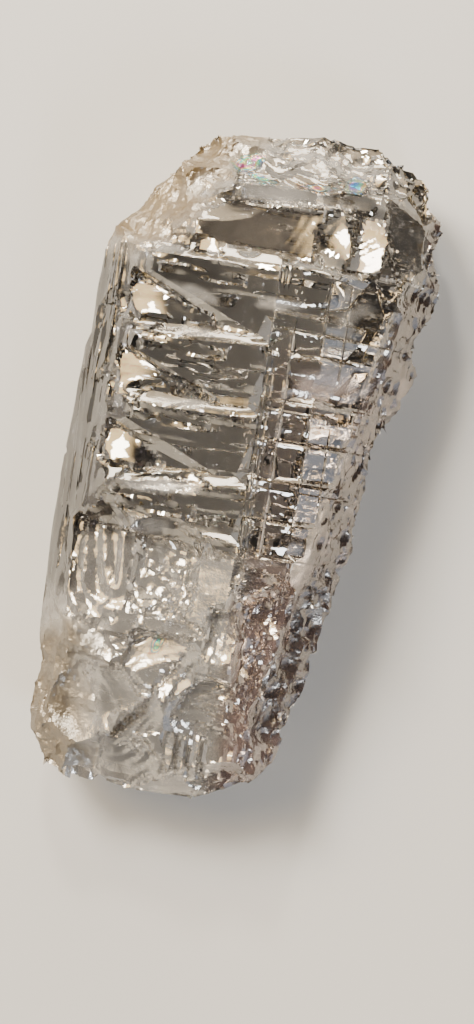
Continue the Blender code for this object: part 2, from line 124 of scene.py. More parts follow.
# The clear crystal itself. The absorption's density is per metre.
IOR = 2.65
ABSORPTION = (0.75, 0.735, 0.71, 1.0)
ABSORPTION_DENSITY = 75.0
REFLECTION_TINT = (1.0, 0.97, 0.91, 1.0)

# How frosted the worn parts are, between which shares of that the speckles vary, and the
# roughness and transmission of polished and of frosted skin.
FROST = {"right_rim": 0.42, "top_left": 0.9, "grain": 0.9, "narrow_end": 0.2}
SPECKLES = (0.6, 1.4)
ROUGHNESS = (0.012, 0.42)
TRANSMISSION = (1.0, 0.35)

# Heights of the relief that is too fine for the mesh.
LINE_RELIEF = 0.14
FINE_RELIEF = 0.03
GRAIN_RELIEF = 0.12
GRAIN_STRENGTH = 0.7
# The fine growth lines' noise in cells per metre, and where another noise breaks the raised lines.
FINE_STRETCH = (160.0, 3200.0, 900.0)
LINE_BREAKS = (0.40, 0.58)

CLEAR_TINT = (0.97, 0.96, 0.95)
# Tints of the surface's parts. The left side's near-black tint is painted shade, and the two pinks on the
# right are painted light, the colour of light seen through the crystal rather than its own. Each is laid over
# those before it.
ZONE_TINTS = {
    # Painted shade: a near-black tint that darkens the left side of the clear crystal.
    "painted_shade_left_side": (0.14, 0.135, 0.128),
    "wide_face": (0.62, 0.56, 0.50),
    # Painted light: two pink casts on the right half, light seen through the crystal, not its own colour.
    "painted_faint_pink_light": (0.80, 0.67, 0.65),
    "painted_pink_light": (0.62, 0.44, 0.43),
    "right_rim": (0.11, 0.068, 0.062),
    "grain": (0.12, 0.088, 0.048),
    "top_left": (0.15, 0.086, 0.010),
}

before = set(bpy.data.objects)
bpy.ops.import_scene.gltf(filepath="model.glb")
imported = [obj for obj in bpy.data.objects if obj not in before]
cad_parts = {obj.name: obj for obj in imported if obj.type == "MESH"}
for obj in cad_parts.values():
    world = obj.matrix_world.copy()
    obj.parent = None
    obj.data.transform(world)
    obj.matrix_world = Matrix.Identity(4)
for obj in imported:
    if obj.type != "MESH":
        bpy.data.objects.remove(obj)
cad_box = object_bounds()
rng = np.random.default_rng(SEED)


def ramp(low, high, value):
    """0 below low, 1 above high and smooth between them. It falls where low is above high."""
    share = np.clip((value - low) / (high - low), 0.0, 1.0)
    return share * share * (3.0 - 2.0 * share)


def unit(vectors):
    return vectors / np.maximum(np.linalg.norm(vectors, axis=-1, keepdims=True), 1e-9)


# The noise repeats after this many cells.
NOISE_CELLS = 32
# The blow that makes a chip strikes this share of its radius away from its middle, and a chip on
# uneven ground cuts at most this many times its own depth.
STRIKE_SHARE = 0.4
DEEPEST = 1.6


class Surface:
    """A mesh's points and normals as arrays, in the crystal's own millimetres."""

    def __init__(self, mesh):
        self.mesh = mesh
        count = len(mesh.vertices)
        points = np.empty(count * 3)
        mesh.vertices.foreach_get("co", points)
        self.points = points.reshape(count, 3) / MM - ZERO
        self.renew()

    def renew(self):
        self.write()
        normals = np.empty(len(self.points) * 3)
        self.mesh.vertices.foreach_get("normal", normals)
        self.normals = normals.reshape(-1, 3)

    def write(self):
        self.mesh.vertices.foreach_set("co", ((self.points + ZERO) * MM).ravel())
        self.mesh.update()

    def zones(self):
        """How much each point belongs to the crystal's differently finished parts, and to the patches that
        hold painted light
        and shade: painted pink light on the right and painted shade down the left side. Each part fades into
        its neighbours between two places on the crystal."""
        x, y, z = self.points.T
        up = self.normals[:, 2]
        front = ramp(0.0, 0.35, up)
        grown = ramp(12.9, 12.4, y) * ramp(-9.6, -9.0, y)
        # How far a point lies right of the growth face, and inside the worn corner's slanting edge.
        past_edge = x - (6.5 + 0.2 * y)
        ragged = value_noise(self.points, 1.9, 51) + 0.5 * value_noise(self.points, 0.8, 52)
        worn_corner = (x * 0.81 - y * 0.59) + 16.3 + 0.8 * ragged
        ends = np.maximum(ramp(17.5, 19.5, y), ramp(-18.0, -20.0, y))
        dark_facet = ramp(12.4, 12.9, y) * ramp(10.4, 10.0, x + 0.12 * (y - 14.0))
        bright_line = ramp(16.0, 16.3, y) * ramp(17.2, 17.0, y) * ramp(3.2, 2.6, np.abs(x))
        return {
            "front": front,
            "growth": front * grown * ramp(0.0, -0.4, past_edge),
            "ladder": front * (grown * ramp(0.8, 1.3, x) * ramp(0.4, -0.4, past_edge - 1.6) + bright_line),
            "back": ramp(-0.6, -0.8, up) * ramp(-21.0, -19.5, y) * ramp(20.0, 18.5, y)
            * ramp(1.0, -0.5, past_edge),
            "ends": ramp(0.15, -0.1, up) * ramp(-0.8, -0.6, up) * ends,
            "narrow_end": ramp(-6.0, -7.2, y) * front,
            "top_left": ramp(4.4, 1.2, worn_corner) * ramp(11.0, 13.5, y + ragged),
            "grain": ramp(-5.6, -9.2, x + 0.12 * (y + 17.0) + ragged) * ramp(-11.8, -14.2, y + ragged),
            "right_rim": ramp(-0.3, 0.6, past_edge) * ramp(3.8, 4.8, z) * ramp(-19.5, -17.5, y)
            * (1.0 - dark_facet),
            # Painted shade down the left side.
            "painted_shade_left_side": ramp(-9.0, -10.0, x) * ramp(-11.0, -10.0, y) * ramp(12.5, 11.5, y),
            "wide_face": front * ramp(12.9, 13.2, y) * ramp(16.6, 16.3, y) * ramp(3.2, 2.8, x + 0.3 * ragged),
            # Painted pink light low on the right.
            "painted_pink_light": front * ramp(1.6, 2.4, x) * ramp(-6.8, -8.0, y),
            # Painted faint pink light over the right half.
            "painted_faint_pink_light": front * ramp(0.8, 2.0, x + 0.5 * ragged) * ramp(9.0, 5.0, y),
        }


def scoop(surface, weight, count, radii, depths, tilt, rings):
    """Cuts shallow spherical chips out of the surface where the weight is high."""
    chances = weight / weight.sum()
    for place in rng.choice(len(surface.points), size=count, p=chances):
        axis = unit(surface.normals[place] + rng.normal(0.0, tilt, 3))
        radius = rng.uniform(*radii)
        depth = rng.uniform(*depths)
        strike = surface.points[place] + np.cross(axis, unit(rng.normal(size=3))) * radius * STRIKE_SHARE
        bowl(surface, weight, surface.points[place], axis, radius, depth, strike, rings)
    surface.renew()


def bowl(surface, weight, place, axis, radius, depth, strike, rings):
    """Cuts one bowl, ribbed in rings round the point where the blow struck. It fades out where
    the weight is low and where the surface turns away from the bowl's axis."""
    ripple, wavelength = rings
    centre = place + axis * (radius - depth)
    away = surface.points - centre
    near = np.flatnonzero((np.einsum("ij,ij->i", away, away) < (radius + ripple) ** 2) & (weight > 0.02))
    away = away[near]
    waves = np.sin(2 * math.pi * np.linalg.norm(surface.points[near] - strike, axis=1) / wavelength)
    reach = radius + ripple * waves
    height = away @ axis
    under = np.maximum(height**2 - np.einsum("ij,ij->i", away, away) + reach**2, 0.0)
    drop = np.clip(height + np.sqrt(under), 0.0, DEEPEST * depth)
    facing = ramp(0.0, 0.4, surface.normals[near] @ axis)
    surface.points[near] -= axis * (drop * facing * np.minimum(weight[near] * 3.0, 1.0))[:, None]


def value_noise(points, size, seed):
    """Smooth noise between -1 and 1, with cells of the given size. Each use has its own seed."""
    draws = np.random.default_rng(seed)
    table = draws.uniform(-1.0, 1.0, (NOISE_CELLS,) * 3)
    cell = points / size
    base = np.floor(cell).astype(int)
    part = cell - base
    part = part * part * (3.0 - 2.0 * part)
    total = np.zeros(len(points))
    for i, j, k in itertools.product((0, 1), repeat=3):
        share = np.abs(1 - i - part[:, 0]) * np.abs(1 - j - part[:, 1]) * np.abs(1 - k - part[:, 2])
        corner = (base + (i, j, k)) % NOISE_CELLS
        total += share * table[corner[:, 0], corner[:, 1], corner[:, 2]]
    return total


def crack_layers(surface):
    """How milky each point is, and how strongly it shows film colours, from the healed cracks."""
    x, y = surface.points.T[:2]
    front = ramp(0.0, 0.35, surface.normals[:, 2])
    ragged = 0.35 * value_noise(surface.points, 0.9, 41) + 0.25 * value_noise(surface.points, 0.4, 42)
    milky = np.zeros(len(x))
    film = np.zeros(len(x))
    for (cx, cy), (length, width), turn, cloud, vivid in CRACKS:
        cos, sin = math.cos(math.radians(turn)), math.sin(math.radians(turn))
        along = ((x - cx) * cos + (y - cy) * sin) / (length / 2)
        across = ((y - cy) * cos - (x - cx) * sin) / (width / 2)
        there = front * ramp(1.25, 0.30, np.hypot(along, across) + ragged)
        milky = np.maximum(milky, cloud * there)
        film = np.maximum(film, vivid * there)
    return milky, film


def press(surface, depth):
    """Moves each point along its normal, inwards where depth is positive."""
    surface.points -= surface.normals * depth[:, None]
    surface.renew()


def growth_steps(surface, weight, levels, heights, lap):
    """Fine ledges that cross the growth faces, each a small fall towards the narrow end that
    fades out over the lap."""
    x, y = surface.points.T[:2]
    total = np.zeros(len(y))
    for level in levels:
        climb = rng.uniform(-0.04, 0.06)
        bend = rng.uniform(-0.2, 0.2)
        span = rng.uniform(2.5, 9.0)
        middle = rng.uniform(-8.0, 8.0)
        away = y - level - climb * x - bend * np.sin(x * 0.7)
        there = ramp(span, span * 0.6, np.abs(x - middle))
        total += rng.uniform(*heights) * there * ramp(0.12, -0.12, away) * ramp(-lap, 0.0, away)
    press(surface, total * weight)


def inside(outline, x, y, soft):
    """1 inside a convex outline, given anticlockwise, and 0 outside it, with a soft border."""
    depth = np.full(len(x), np.inf)
    corners = np.array(outline)
    for start, end in zip(corners, np.roll(corners, -1, axis=0)):
        along = (end - start) / np.linalg.norm(end - start)
        depth = np.minimum(depth, along[0] * (y - start[1]) - along[1] * (x - start[0]))
    return ramp(-soft, soft, depth)


def reshape(surface, outline, fall, sink=0.0, bend=0.0, rings=None, soft=0.12):
    """Turns the front inside the outline into one face that falls per mm in X and Y.

    It is flat, hollow where bend is above 0, or ringed round the point where a blow struck. The
    bend is the same both ways, or a pair for X and Y. The outline's border is soft and strays."""
    x, y, z = surface.points.T
    stray = soft * 2.0
    mask = inside(outline, x + stray * value_noise(surface.points, 1.3, 33),
                  y + stray * value_noise(surface.points, 1.5, 34), soft)
    mask = mask * ramp(0.0, 0.25, surface.normals[:, 2])
    middle = np.mean(outline, axis=0)
    along, across = x - middle[0], y - middle[1]
    bend_x, bend_y = np.broadcast_to(bend, 2)
    wanted = fall[0] * along + fall[1] * across + bend_x * along**2 + bend_y * across**2
    level = np.sum(mask * (z - wanted)) / max(mask.sum(), 1e-9) - sink
    if rings:
        strike, wavelength, height = rings
        reach = np.hypot(x - strike[0], y - strike[1]) + 0.3 * value_noise(surface.points, 1.6, 31)
        strength = height * np.clip(0.5 + 1.2 * value_noise(surface.points, 1.2, 32), 0.0, 1.3)
        wanted = wanted + strength * np.sin(2 * math.pi * reach / wavelength)
    surface.points[:, 2] += mask * np.minimum(wanted + level - z, RISE)


# Faces of the wide end: outline, fall per mm in X and Y, sink, bend, and rings as the place
# where the blow struck, the wavelength and the height.
WIDE_FACES = (
    # The flat band above the bright line, and the face under it.
    (((-2.9, 16.7), (2.4, 16.7), (2.6, 17.9), (-2.6, 17.9)), (-0.02, -0.08), 0.1, 0.0, None),
    (((2.6, 16.9), (6.3, 16.9), (6.5, 17.9), (4.5, 18.4), (2.6, 17.9)), (-0.10, -0.35), 0.0, 0.03, None),
    (((-5.6, 14.0), (-4.4, 13.3), (2.6, 13.1), (3.1, 14.6), (2.9, 16.5), (-2.9, 16.6), (-4.9, 15.6)),
     (-0.06, -0.24), 0.25, 0.03, ((-9.0, 19.5), 0.6, 0.006)),
    # The hollow beside it, and the golden three-cornered face.
    (((3.6, 12.9), (5.6, 12.9), (5.9, 16.2), (3.5, 16.6), (2.7, 15.4), (2.8, 14.0)),
     (0.22, -0.28), 0.1, 0.09, ((8.0, 12.0), 0.6, 0.02)),
    (((5.0, 12.8), (8.4, 12.8), (7.1, 16.7), (5.6, 16.4)),
     (0.35, -0.26), 0.1, -0.05, ((4.0, 17.5), 0.5, 0.035)),
    # The smooth dark face, a small one beside it, and the pale strip outside them.
    (((6.9, 18.8), (7.3, 16.2), (8.5, 12.5), (9.6, 13.6), (10.3, 16.0), (9.2, 17.7), (8.3, 18.6)),
     (-0.34, -0.10), 0.0, 0.0, None),
    (((9.3, 13.0), (10.7, 14.2), (10.8, 15.2), (9.7, 14.8)), (-0.45, -0.2), 0.05, 0.0, None),
    (((8.4, 18.7), (9.9, 16.9), (10.3, 17.4), (9.9, 19.2), (8.9, 20.0)), (-0.90, -0.50), 0.0, 0.0, None),
    # Broken faces up to the rim.
    (((-3.0, 17.9), (-0.2, 17.9), (0.2, 20.0), (-1.0, 20.6), (-3.2, 19.6)),
     (0.25, -0.45), 0.05, 0.04, ((-6.0, 22.0), 0.8, 0.05)),
    (((-0.2, 17.9), (2.8, 17.9), (3.2, 19.4), (0.4, 20.2)),
     (-0.10, -0.65), 0.1, 0.05, ((3.0, 22.0), 0.7, 0.04)),
    (((-0.8, 20.5), (3.2, 19.7), (4.2, 20.4), (3.4, 21.6), (0.0, 21.4)), (-0.05, -0.85), 0.0, 0.0, None),
    (((3.2, 18.4), (5.2, 18.2), (5.4, 20.6), (4.2, 20.4), (3.2, 19.4)), (-0.15, -0.45), 0.1, 0.05, None),
    (((5.2, 18.2), (6.6, 18.6), (6.9, 20.9), (5.6, 21.2)), (0.35, -0.45), 0.0, 0.03, None),
    (((6.7, 18.8), (8.2, 18.7), (8.8, 20.1), (7.1, 20.8)), (-0.50, -0.50), 0.0, 0.0, None),
    (((-6.6, 16.0), (-3.2, 17.0), (-3.0, 19.6), (-6.0, 18.6)), (0.34, -0.42), 0.0, 0.04, None),
    (((-9.0, 13.4), (-6.9, 13.2), (-6.4, 15.8), (-8.0, 15.8)), (0.50, -0.40), 0.0, 0.04, None),
    (((-6.8, 12.9), (-5.4, 12.9), (-5.2, 14.0), (-6.4, 14.3)), (0.34, -0.26), 0.1, -0.16, None),
    (((-4.8, 12.7), (-3.2, 12.7), (-3.6, 13.5), (-4.8, 13.6)), (0.34, -0.26), 0.1, -0.16, None),
    (((-9.0, 11.9), (-7.6, 12.2), (-7.8, 13.2), (-8.9, 13.0)), (0.36, -0.26), 0.0, -0.12, None),
)

# The dark strip down the left of the growth face, its fall and its soft border.
LEFT_STRIP = ((-9.8, -5.2), (-8.5, -5.2), (-8.5, 12.2), (-9.7, 12.2))
LEFT_STRIP_FALL = (0.85, 0.0)
LEFT_STRIP_BORDER = 0.45

# Faces at the left ends of the ledges: the steep falls under them first, and then for each ledge
# the bowed face that glints and the steep one under its diagonal.
LEDGE_FACES = (
    (((-7.4, 5.9), (-2.0, 5.9), (-2.0, 6.5), (-7.4, 6.5)), (0.1, 0.42), 0.0, 0.0, None),
    (((-7.6, 1.2), (-2.4, 1.2), (-2.4, 1.8), (-7.6, 1.8)), (0.1, 0.42), 0.0, 0.0, None),
    (((-7.6, -4.6), (-2.4, -4.6), (-2.4, -3.9), (-7.4, -3.9)), (0.1, 0.42), 0.0, 0.0, None),
    (((-7.2, 11.0), (-1.4, 11.0), (-1.4, 11.5), (-7.4, 11.5)), (0.1, 0.42), 0.0, 0.0, None),
    (((-8.7, 7.6), (-7.0, 7.2), (-2.9, 8.0), (-3.3, 8.6), (-8.7, 10.8)),
     (0.10, -0.33), 0.05, (-0.075, -0.03), None),
    (((-7.3, 7.0), (-5.0, 7.0), (-2.2, 7.9), (-4.5, 8.2), (-6.4, 7.8)), (0.10, -0.75), 0.0, 0.03, None),
    (((-8.8, 2.8), (-7.0, 2.5), (-2.6, 3.1), (-3.4, 3.8), (-8.8, 5.9)),
     (0.10, -0.33), 0.05, (-0.075, -0.03), None),
    (((-7.4, 2.2), (-5.0, 2.2), (-2.2, 3.2), (-4.5, 3.5), (-6.6, 3.1)), (0.10, -0.75), 0.0, 0.03, None),
    (((-8.8, -1.6), (-7.0, -2.0), (-4.8, -1.4), (-6.2, -0.4), (-8.8, 0.9)),
     (0.14, -0.31), 0.05, (-0.095, -0.035), None),
    (((-8.2, -3.4), (-3.0, -3.2), (-1.5, -2.4), (-3.0, -1.9), (-7.2, -2.2)),
     (0.08, -0.45), 0.0, 0.05, ((-4.0, -12.0), 0.5, 0.05)),
)

# Faces of the narrow end. The first three lie under the ribs, the bright rough patch and the
# clear gap beside it.
NARROW_FACES = (
    (((-10.0, -12.2), (-8.0, -12.6), (-5.7, -11.2), (-5.7, -6.2), (-9.8, -5.6)),
     (0.34, -0.12), 0.0, 0.0, None),
    (((-5.6, -11.2), (-1.9, -11.2), (-1.8, -6.6), (-5.6, -6.4)), (0.30, -0.22), 0.0, 0.0, None),
    (((-1.5, -11.3), (0.9, -11.6), (1.0, -6.9), (-1.5, -6.9)), (0.55, -0.05), 0.0, 0.0, None),
    (((1.3, -9.6), (3.6, -9.4), (3.6, -7.4), (1.3, -7.4)),
     (0.30, -0.28), 0.0, 0.05, ((0.0, -11.0), 0.5, 0.06)),
    (((-6.2, -22.6), (-3.6, -23.0), (-1.4, -21.6), (-3.4, -19.8), (-6.4, -19.6)),
     (0.12, 0.50), 0.0, 0.05, ((-9.0, -16.0), 0.8, 0.1)),
    (((-5.0, -12.3), (-0.9, -12.5), (-0.7, -11.9), (-4.6, -10.4)), (0.05, -0.35), 0.1, 0.0, None),
    (((-5.4, -14.8), (-3.4, -16.4), (-1.5, -13.4), (-1.4, -12.6), (-5.2, -12.6)),
     (0.34, -0.16), 0.2, 0.06, ((-2.0, -18.0), 0.7, 0.06)),
    (((-6.2, -19.4), (-5.4, -19.8), (-2.0, -16.6), (-0.6, -13.2), (-1.2, -13.2), (-3.4, -16.5)),
     (0.9, 0.35), 0.0, 0.0, None),
    (((-1.8, -17.8), (1.8, -18.4), (2.0, -15.2), (-0.4, -15.0)),
     (0.05, 0.22), 0.2, 0.05, ((0.0, -13.0), 0.65, 0.09)),
    (((-0.6, -14.6), (1.8, -15.0), (1.8, -10.4), (-0.2, -10.2)),
     (0.30, -0.20), 0.0, 0.07, ((-6.0, -12.0), 0.45, 0.05)),
    (((-5.0, -19.8), (-2.2, -19.0), (-2.6, -17.2), (-4.9, -18.8)),
     (0.22, 0.30), 0.1, 0.02, ((-8.0, -16.0), 0.6, 0.07)),
    (((-8.4, -17.8), (-6.2, -18.6), (-4.0, -16.9), (-5.6, -15.2), (-8.2, -15.4)),
     (0.18, 0.20), 0.15, 0.05, ((-4.0, -12.0), 0.8, 0.08)),
    (((-8.6, -14.6), (-5.6, -15.0), (-5.4, -12.9), (-8.6, -12.6)),
     (0.05, -0.30), 0.1, 0.03, ((-9.0, -9.0), 0.7, 0.08)),
)


# Ledges of the front: where they lie along it, how many, heights and lap. Ledges of the back:
# where they lie, their spacing and how far it varies, heights and lap.
FRONT_STEPS = (-9.5, 12.5)
FRONT_STEP_COUNT = 40
FRONT_STEP_HEIGHTS = (0.0, 0.10)
FRONT_STEP_LAP = 1.5
BACK_STEPS = (-19.0, 19.0)
BACK_STEP_SPACING = 1.3
BACK_STEP_STRAY = 0.5
BACK_STEP_HEIGHTS = (0.1, 0.55)
BACK_STEP_LAP = 2.2

# Parts of the narrow end: the ribs in a U, the columns at the tip, the fan of ridges, the bright
# rough patch and the clear gap right of it. Then the broken band at the wide end's foot.
RIB_OUTLINE = ((-11.7, -12.2), (-8.0, -12.7), (-5.7, -11.4), (-5.7, -6.6), (-11.7, -5.0))
COLUMN_OUTLINE = ((-1.9, -21.6), (0.9, -21.6), (0.9, -19.0), (-1.9, -19.0))
RIDGE_OUTLINE = ((1.8, -21.6), (7.5, -21.6), (8.5, -7.5), (2.2, -8.2))
ROUGH_OUTLINE = ((-5.7, -9.8), (-4.6, -11.2), (-1.8, -11.0), (-1.7, -6.6), (-5.7, -6.6))
GAP_OUTLINE = ((-1.6, -11.4), (0.9, -11.6), (1.0, -6.8), (-1.6, -6.8))
BAND_OUTLINE = ((-7.4, 12.5), (1.5, 12.7), (1.5, 13.3), (-4.0, 13.7), (-7.0, 14.2))

# The U's centre, how far it leans per mm and from which height, and how far it wanders.
RIB_CENTRE = (-7.0, -9.6)
RIB_LEAN = 0.12
RIB_LEAN_FROM = -9.0
RIB_WANDER = 0.32
RIB_WAVELENGTH = 1.25
RIB_HEIGHT = 0.12
COLUMN_WAVELENGTH = 0.85
COLUMN_HEIGHT = 0.26
RIDGE_HEIGHT = 0.30

# Chips of each part: count, radii, depths, how far their axes stray from the surface's own, and
# the height and wavelength of their rings.
PLAIN = (0.0, 1.0)
CHIPS = (
    ("broken", 60, (0.8, 3.0), (0.05, 0.18), 0.3, (0.01, 0.4)),
    ("ends", 50, (2.0, 6.0), (0.06, 0.22), 0.25, (0.02, 0.9)),
    ("narrow_end", 16, (1.0, 3.0), (0.06, 0.16), 0.25, PLAIN),
    ("rough_patch", 60, (0.7, 2.2), (0.04, 0.14), 0.3, PLAIN),
    ("ridges", 36, (0.8, 2.4), (0.05, 0.18), 0.35, PLAIN),
    ("right_rim", 200, (0.6, 2.2), (0.05, 0.18), 0.4, PLAIN),
    ("top_left", 150, (0.8, 3.0), (0.03, 0.12), 0.45, PLAIN),
    ("grain", 240, (0.5, 1.8), (0.03, 0.10), 0.45, PLAIN),
)

# Heights of the last, gentle relief.
GRAIN_HEIGHT = 0.04
WAVE_HEIGHT = 0.02
FLUTE_HEIGHT = 0.10
STREAK_HEIGHT = 0.03


def cut_faces(surface):
    """The fine ledges of the front and the back, and the faces that are cut into the front."""
    zones = surface.zones()
    levels = rng.uniform(*FRONT_STEPS, FRONT_STEP_COUNT)
    growth_steps(surface, zones["growth"], levels, FRONT_STEP_HEIGHTS, FRONT_STEP_LAP)
    # The wave that shifts the back's ledges doesn't fit their spacing, so it leaves them uneven.
    levels = np.arange(*BACK_STEPS, BACK_STEP_SPACING)
    levels += BACK_STEP_STRAY * np.sin(2.4 * levels)
    growth_steps(surface, zones["back"], levels, BACK_STEP_HEIGHTS, BACK_STEP_LAP)
    reshape(surface, LEFT_STRIP, LEFT_STRIP_FALL, soft=LEFT_STRIP_BORDER)
    for face in WIDE_FACES + LEDGE_FACES + NARROW_FACES:
        reshape(surface, *face)
    surface.renew()


def carve_narrow_end(surface, front):
    """Ribs in a U, columns and a fan of ridges. Returns where the ribs and the ridges lie."""
    x, y, z = surface.points.T
    across = x - RIB_CENTRE[0] + RIB_LEAN * (y - RIB_LEAN_FROM)
    arc = np.hypot(across, np.minimum(y - RIB_CENTRE[1], 0.0))
    arc = arc + RIB_WANDER * value_noise(surface.points, 2.0, 23)
    ribs = inside(RIB_OUTLINE, x, y, 0.4) * ramp(-0.1, 0.3, surface.normals[:, 2])
    worn = np.clip(0.8 + 0.6 * value_noise(surface.points, 1.5, 24), 0.2, 1.2)
    columns = inside(COLUMN_OUTLINE, x, y, 0.3) * front
    ridges = inside(RIDGE_OUTLINE, x, y, 0.5) * front
    tall = np.column_stack((x * 1.6, y * 0.32, z * 0.8))
    press(surface, RIB_HEIGHT * ribs * worn * np.cos(2 * math.pi * arc / RIB_WAVELENGTH)
          - COLUMN_HEIGHT * columns * np.sin(2 * math.pi * x / COLUMN_WAVELENGTH)
          + RIDGE_HEIGHT * ridges * (value_noise(tall, 1.0, 21) + 0.5 * value_noise(tall, 0.45, 22)))
    return ribs, ridges


def chip(surface, front, ribs, ridges):
    """Scoops chips out of the broken and the worn parts."""
    x, y = surface.points.T[:2]
    weights = surface.zones()
    rough_patch = inside(ROUGH_OUTLINE, x, y, 0.3) * front
    clear_gap = inside(GAP_OUTLINE, x, y, 0.3)
    wide_rim = ramp(18.2, 19.4, y) * ramp(-0.3, 0.2, surface.normals[:, 2])
    band = inside(BAND_OUTLINE, x, y, 0.2) * front
    weights["narrow_end"] *= (1.0 - rough_patch) * (1.0 - ribs) * (1.0 - clear_gap)
    weights["rough_patch"] = rough_patch
    weights["ridges"] = ridges
    weights["broken"] = np.minimum(wide_rim + band, 1.0)
    for part, *chips in CHIPS:
        scoop(surface, weights[part], *chips)


def add_gentle_relief(surface):
    """Grain on the worn parts, waves, flutes down the left side and streaks along the ledges.
    Returns the zones of the finished surface."""
    zones = surface.zones()
    x, y, z = surface.points.T
    rough = np.maximum.reduce((zones["right_rim"], zones["top_left"], zones["grain"]))
    press(surface, GRAIN_HEIGHT * rough * (1.0 + value_noise(surface.points, 0.45, 3)))
    waves = 1.5 + value_noise(surface.points, 2.6, 5) + 0.5 * value_noise(surface.points, 1.1, 6)
    left = ramp(-8.8, -9.6, x) * ramp(-0.8, -0.3, surface.normals[:, 2]) * ramp(-12.0, -11.0, y)
    tall = np.column_stack((x, y * 0.12, z))
    flutes = left * (value_noise(tall, 0.7, 8) + value_noise(tall, 0.4, 9))
    drawn = np.column_stack((x * 0.22, y * 1.3, z))
    streaks = zones["growth"] * (value_noise(drawn, 1.0, 12) + 0.6 * value_noise(drawn, 0.45, 13))
    press(surface, WAVE_HEIGHT * waves * (1.0 - rough) * zones["front"]
          + FLUTE_HEIGHT * flutes + STREAK_HEIGHT * streaks)
    return zones


def refine(surface):
    """Adds all relief that the mesh holds, inside the solid's box, and returns its zones."""
    cut_faces(surface)
    front = surface.zones()["front"]
    ribs, ridges = carve_narrow_end(surface, front)
    chip(surface, front, ribs, ridges)
    zones = add_gentle_relief(surface)
    low, high = (np.array(corner) / MM - ZERO for corner in cad_box)
    surface.points = np.clip(surface.points, low, high)
    surface.renew()
    return zones


def add_node(tree, kind, **inputs):
    """A new node with the named inputs set."""
    node = tree.nodes.new(kind)
    for name, value in inputs.items():
        node.inputs[name.replace("_", " ")].default_value = value
    return node


def mapped(tree, factor, low, high, start=0.0, end=1.0):
    """A number that goes from low to high as the factor goes from start to end."""
    node = add_node(tree, "ShaderNodeMapRange", To_Min=low, To_Max=high, From_Min=start, From_Max=end)
    tree.links.new(factor, node.inputs["Value"])
    return node.outputs["Result"]


def layer_value(tree, name, kind="Fac"):
    """What one of the mesh's own layers says at each point."""
    node = tree.nodes.new("ShaderNodeAttribute")
    node.attribute_name = name
    return node.outputs[kind]


def noise(tree, place, scale, **look):
    """Noise in the material, with the scale in cells per metre."""
    node = add_node(tree, "ShaderNodeTexNoise", Scale=scale, **look)
    tree.links.new(place, node.inputs["Vector"])
    return node.outputs["Fac"]


def product(tree, first, second, clamp=False):
    node = tree.nodes.new("ShaderNodeMath")
    node.operation = "MULTIPLY"
    node.use_clamp = clamp
    tree.links.new(first, node.inputs[0])
    tree.links.new(second, node.inputs[1])
    return node.outputs[0]


def add_bump(tree, height, relief, strength, under):
    """A bump of the given relief in millimetres, of a linked strength, on top of another one."""
    node = add_node(tree, "ShaderNodeBump", Distance=relief * MM)
    tree.links.new(height, node.inputs["Height"])
    tree.links.new(strength, node.inputs["Strength"])
    tree.links.new(under, node.inputs["Normal"])
    return node.outputs["Normal"]


def add_lines(tree, place, zero, lines, span, lead, strength, under):
    """A bump of thin raised lines across a coordinate. Each rises over lead half widths and
    falls over one."""
    low, high = span
    ridges = tree.nodes.new("ShaderNodeValToRGB")
    stops = ridges.color_ramp.elements
    stops[0].color = stops[1].color = (0.0, 0.0, 0.0, 1.0)
    for middle, width in lines:
        for offset, height in ((-width * lead, 0.0), (0.0, 1.0), (width, 0.0)):
            stop = stops.new((middle + offset + zero - low) / (high - low))
            stop.color = (height, height, height, 1.0)
    share = mapped(tree, place, 0.0, 1.0, low * MM, high * MM)
    tree.links.new(share, ridges.inputs["Fac"])
    return add_bump(tree, ridges.outputs["Color"], LINE_RELIEF, strength, under)


def add_frost(tree, shader, place, frost):
    """Speckled frost that roughens the surface and makes it less see-through."""
    speckles = mapped(tree, noise(tree, place, 1400.0, Detail=3.0, Roughness=0.6), *SPECKLES)
    cloud = product(tree, frost, speckles, clamp=True)
    tree.links.new(mapped(tree, cloud, *ROUGHNESS), shader.inputs["Roughness"])
    tree.links.new(mapped(tree, cloud, *TRANSMISSION), shader.inputs["Transmission Weight"])


def add_film(tree, shader, place):
    """The tint of each part, painted shade and painted pink light among them, and the bands of colour of the
    healed cracks' thin film.
    """
    film = layer_value(tree, "film")
    bands = noise(tree, place, 900.0, Detail=2.0)
    hues = tree.nodes.new("ShaderNodeValToRGB")
    stops = hues.color_ramp.elements
    stops[0].color, stops[1].color = (*FILM_STOPS[0][1], 1.0), (*FILM_STOPS[-1][1], 1.0)
    for position, colour in FILM_STOPS:
        stops.new(position).color = (*colour, 1.0)
    tree.links.new(mapped(tree, bands, 0.0, 1.0, *FILM_SPREAD), hues.inputs["Fac"])
    stain = tree.nodes.new("ShaderNodeMix")
    stain.data_type = "RGBA"
    tree.links.new(film, stain.inputs[0])
    tree.links.new(layer_value(tree, "tint", "Color"), stain.inputs[6])
    tree.links.new(hues.outputs["Color"], stain.inputs[7])
    tree.links.new(stain.outputs[2], shader.inputs["Base Color"])
    thickness = product(tree, film, mapped(tree, bands, *FILM_NANOMETRES))
    tree.links.new(thickness, shader.inputs["Thin Film Thickness"])


